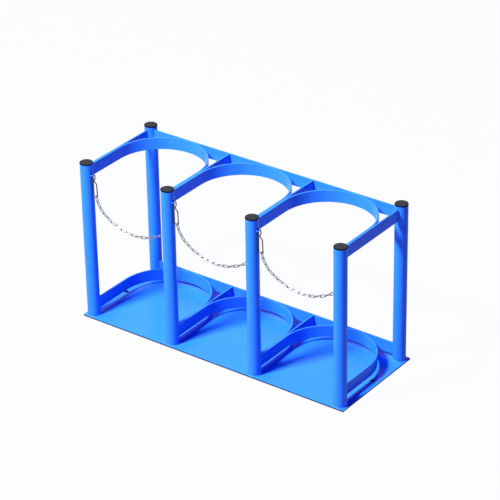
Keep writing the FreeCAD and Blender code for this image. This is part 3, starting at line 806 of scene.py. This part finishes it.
class STAND_OT_hooks(bpy.types.Operator):
    """Bent wire snap hooks, their sprung gates and hinge pins"""

    bl_idname = "stand.hooks"
    bl_label = "Snap hooks"

    head: FloatProperty(name="Pin head", description="Radius of the pin's domed heads",
                        default=1.0 * MM, unit="LENGTH")

    def pin(self, node):
        """Pin with a low dome at each end, along its own axis."""
        low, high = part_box(node)
        centre = (low + high) / 2
        hinge = node.replace("pin_", "") + "_hinge"
        axis = Vector([j for j in frame["joints"] if j["name"] == hinge][0]["axis"])
        half, shaft = (high.y - low.y) / 2, (high.z - low.z) / 2
        across = axis.cross(UP).normalized()
        rows = [(-half - rise, self.head * share) for rise, share in PIN_DOME]
        rows += [(-half, shaft), (half, shaft)]
        rows += [(half + rise, self.head * share) for rise, share in reversed(PIN_DOME)]
        sections = []
        for place, radius in rows:
            section = []
            for j in range(PIN_SIDES):
                turn = 2 * math.pi * j / PIN_SIDES
                way = across * math.cos(turn) + UP * math.sin(turn)
                section.append(centre + axis * place + way * radius)
            sections.append(section)
        return loft(node, sections)

    def execute(self, context):
        dull = plated_steel("dull_plated_steel", finish().hook_tone)
        for bay in range(1, BAYS + 1):
            hook, gate, pin = "hook_%d" % bay, "gate_%d" % bay, "gate_pin_%d" % bay
            for name, mesh, body, node in (
                    ("snap_hook_%d", rounded_node(hook), "chain_%d_body", hook),
                    ("snap_gate_%d", rounded_node(gate), "gate_%d_body", gate),
                    ("hinge_pin_%d", self.pin(pin), "chain_%d_body", pin)):
                piece = add_piece(name % bay, mesh, body % bay, "zinc_steel", [node],
                                  sharp=50)
                piece.data.materials[0] = dull
        return {"FINISHED"}


# Stage

WHITE = (0.985, 0.99, 1.0, 1.0)             # what the camera sees round the stand
EVEN_LIGHT = (0.004, 0.012, 0.44, 1.0)      # blue light that the shaded faces get
FLOOR_TONES = (0.30, 0.32, 0.38, 1.0), (0.32, 0.34, 0.40, 1.0)
# Painted shade: the floor under the plate is coloured dark, so that the anchor holes look dark.
SHADE_PAINTED_UNDER_PLATE = (0.01, 0.02, 0.08, 1.0)       # the floor as the anchor holes show it
FLOOR_HALF = 30.0
FLOOR_DROP = 0.02 * MM                      # keeps the floor off the plate's underside


def add_camera():
    """Camera from its place, turn, tilt and roll."""
    view = camera_view()
    right = Vector((math.cos(view.yaw), math.sin(view.yaw), 0))
    ahead = Vector((-math.sin(view.yaw) * math.cos(view.pitch),
                    math.cos(view.yaw) * math.cos(view.pitch), -math.sin(view.pitch)))
    upward = right.cross(ahead)
    turn_right = right * math.cos(view.roll) + upward * math.sin(view.roll)
    turn_up = upward * math.cos(view.roll) - right * math.sin(view.roll)
    data = bpy.data.cameras.new("camera")
    data.lens = view.lens
    data.sensor_width = 36.0
    data.clip_end = 100.0
    camera = bpy.data.objects.new("camera", data)
    axes = Matrix((turn_right, turn_up, -ahead)).transposed()
    camera.matrix_world = Matrix.Translation(Vector(view.eye)) @ axes.to_4x4()
    bpy.context.scene.collection.objects.link(camera)
    bpy.context.scene.camera = camera


def add_lamp(name, place, target, size, power):
    """Square lamp at a place, turned to a target."""
    data = bpy.data.lights.new(name, "AREA")
    data.size = size
    data.energy = power
    lamp = bpy.data.objects.new(name, data)
    lamp.location = place
    lamp.rotation_euler = (Vector(target) - Vector(place)).to_track_quat("-Z", "Y").to_euler()
    bpy.context.scene.collection.objects.link(lamp)


def seen_by_camera(wires, level, mirror):
    """How far a ray from the camera or a mirror sees the plain white in place of a finish."""
    camera, through, glossy = (wires.node("LightPath", out=name) for name in (
        "Is Camera Ray", "Is Transmission Ray", "Is Glossy Ray"))
    return (camera.at_least(through) * level).at_least(glossy * mirror)


def floor_material():
    """Pale floor, painted dark under the plate as shade, that the camera sees as white."""
    wires = Wiring(material := bpy.data.materials.new("pale_floor"))
    colour = wires.blend(wires.noise(0.4, 2.0), *FLOOR_TONES)
    white = wires.node("Emission", Color=WHITE, Strength=1.0)
    low, high = (Vector(corner) for corner in cad_box)
    under = 1.0
    for axis in (0, 1):
        under = (abs(wires.axis(axis)) < (high[axis] - low[axis]) / 2) * under
    # Painted shade: under the plate the floor's colour is dark, so the anchor holes look dark.
    plain = wires.node("BsdfDiffuse", Color=wires.blend(under, colour, SHADE_PAINTED_UNDER_PLATE))
    seen = seen_by_camera(wires, level=0.97, mirror=0.3) * (1 - under)
    wires.output("Material", wires.node("MixShader", slot0=seen, slot1=plain, slot2=white))
    return material


def add_floor():
    """Square floor under the plate."""
    corners = [Vector((x * FLOOR_HALF, y * FLOOR_HALF, 0))
               for x, y in ((-1, -1), (1, -1), (1, 1), (-1, 1))]
    mesh = mesh_from("floor", corners, [(0, 1, 2, 3)])
    floor = bpy.data.objects.new("floor", mesh)
    floor.location.z = -FLOOR_DROP
    bpy.context.scene.collection.objects.link(floor)
    mesh.materials.append(floor_material())


def set_world():
    """Blue light all round, behind a white that the camera sees."""
    scene = bpy.context.scene
    scene.world = scene.world or bpy.data.worlds.new("world")
    wires = Wiring(scene.world)
    even = wires.node("Background", Color=EVEN_LIGHT, Strength=camera_view().sky)
    white = wires.node("Background", Color=WHITE, Strength=1.0)
    seen = seen_by_camera(wires, level=1.0, mirror=0.9)
    wires.output("World", wires.node("MixShader", slot0=seen, slot1=even, slot2=white))


class STAND_OT_stage(bpy.types.Operator):
    """Camera, lamps, floor and background"""

    bl_idname = "stand.stage"
    bl_label = "Stage"

    def execute(self, context):
        view = camera_view()
        add_camera()
        add_floor()
        set_world()
        add_lamp("key_lamp", view.key_place, (0, 0, 0.1), view.key_size, view.key_power)
        add_lamp("side_lamp", view.side_place, (0, 0, 0.2), view.side_size, view.side_power)
        context.scene.view_settings.view_transform = "Standard"
        return {"FINISHED"}


class STAND_PT_panel(bpy.types.Panel):
    """Sidebar list of the stand's steps"""

    bl_idname = "STAND_PT_panel"
    bl_label = "Gas cylinder stand"
    bl_space_type = "VIEW_3D"
    bl_region_type = "UI"
    bl_category = "Stand"

    def draw(self, context):
        for group in (context.scene.stand_sizes, context.scene.stand_finish,
                      context.scene.stand_view):
            box = self.layout.box()
            for name in group.__annotations__:
                box.prop(group, name)
        for step in STEPS:
            self.layout.operator(step.bl_idname)


STEPS = [STAND_OT_stage, STAND_OT_plate, STAND_OT_posts, STAND_OT_bars, STAND_OT_caps,
         STAND_OT_foot_welds, STAND_OT_seams, STAND_OT_eyes, STAND_OT_chains, STAND_OT_hooks]
GROUPS = {"stand_sizes": StandSizes, "stand_finish": StandFinish, "stand_view": StandView}


def register():
    for group in GROUPS.values():
        bpy.utils.register_class(group)
    for name, group in GROUPS.items():
        setattr(bpy.types.Scene, name, bpy.props.PointerProperty(type=group))
    for step in STEPS + [STAND_PT_panel]:
        bpy.utils.register_class(step)


def unregister():
    for step in reversed(STEPS + [STAND_PT_panel]):
        bpy.utils.unregister_class(step)
    for name, group in reversed(GROUPS.items()):
        delattr(bpy.types.Scene, name)
        bpy.utils.unregister_class(group)


def main():
    register()
    for step in STEPS:
        group, action = step.bl_idname.split(".")
        getattr(getattr(bpy.ops, group), action)()


if __name__ == "__main__":
    main()
